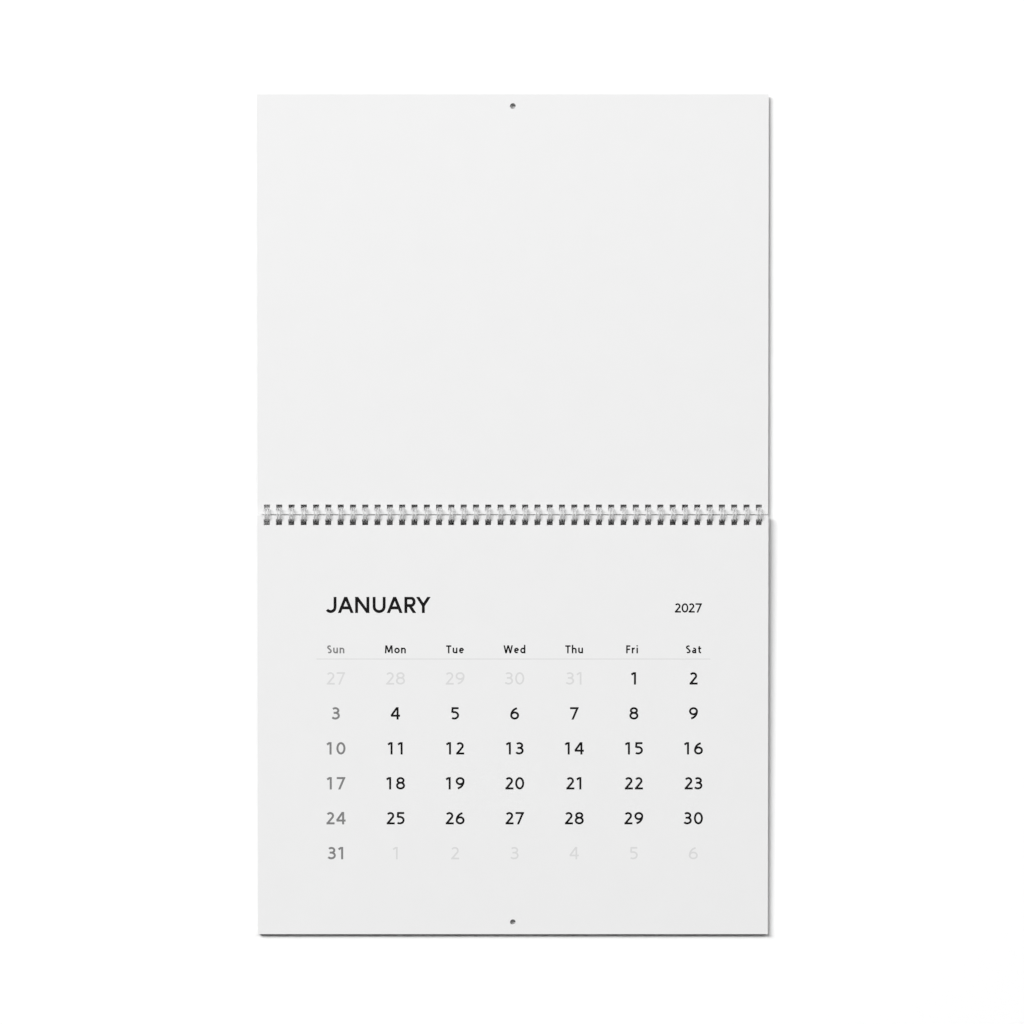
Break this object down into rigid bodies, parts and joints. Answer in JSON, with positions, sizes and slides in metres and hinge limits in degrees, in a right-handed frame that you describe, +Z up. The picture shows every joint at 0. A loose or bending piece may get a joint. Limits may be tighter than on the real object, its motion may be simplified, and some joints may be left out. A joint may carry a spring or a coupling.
{
  "type": "wall calendar",
  "caption": "Wire-bound wall calendar hanging open at a month, with a blank upper leaf, a printed date grid below, twin-loop wire along the middle and a round hanging hole.",
  "frame": {"origin": "middle of the hanging hole in the front cover, halfway through the leaf", "axes": "+X to the viewer's right, +Y towards the wall, +Z up; the printed side faces -Y"},
  "size_m": [0.3556, 0.0097, 0.5849],
  "materials": {
    "cover_paper": "white, satin coated",
    "page_paper": "white, satin coated, black and grey print on the front",
    "coated_wire": "steel wire with a white coating"
  },
  "bodies": {
    "cover": {"front_cover": "cover_paper"},
    "wire": {"binding_wire": "coated_wire"},
    "pages": {"month_pages": "page_paper"},
    "back": {"back_cover": "cover_paper"}
  },
  "joints": [
    {"name": "wire_turn", "type": "hinge", "parent": "cover", "child": "wire", "pos_m": [0, -0.00182, -0.28415], "axis": [1, 0, 0], "range_deg": [-40, 45]},
    {"name": "pages_turn", "type": "hinge", "parent": "cover", "child": "pages", "pos_m": [0, -0.00182, -0.28415], "axis": [1, 0, 0], "range_deg": [-180, 0]},
    {"name": "back_turn", "type": "hinge", "parent": "pages", "child": "back", "pos_m": [0, -0.00182, -0.28415], "axis": [1, 0, 0], "range_deg": [0, 10]}
  ]
}
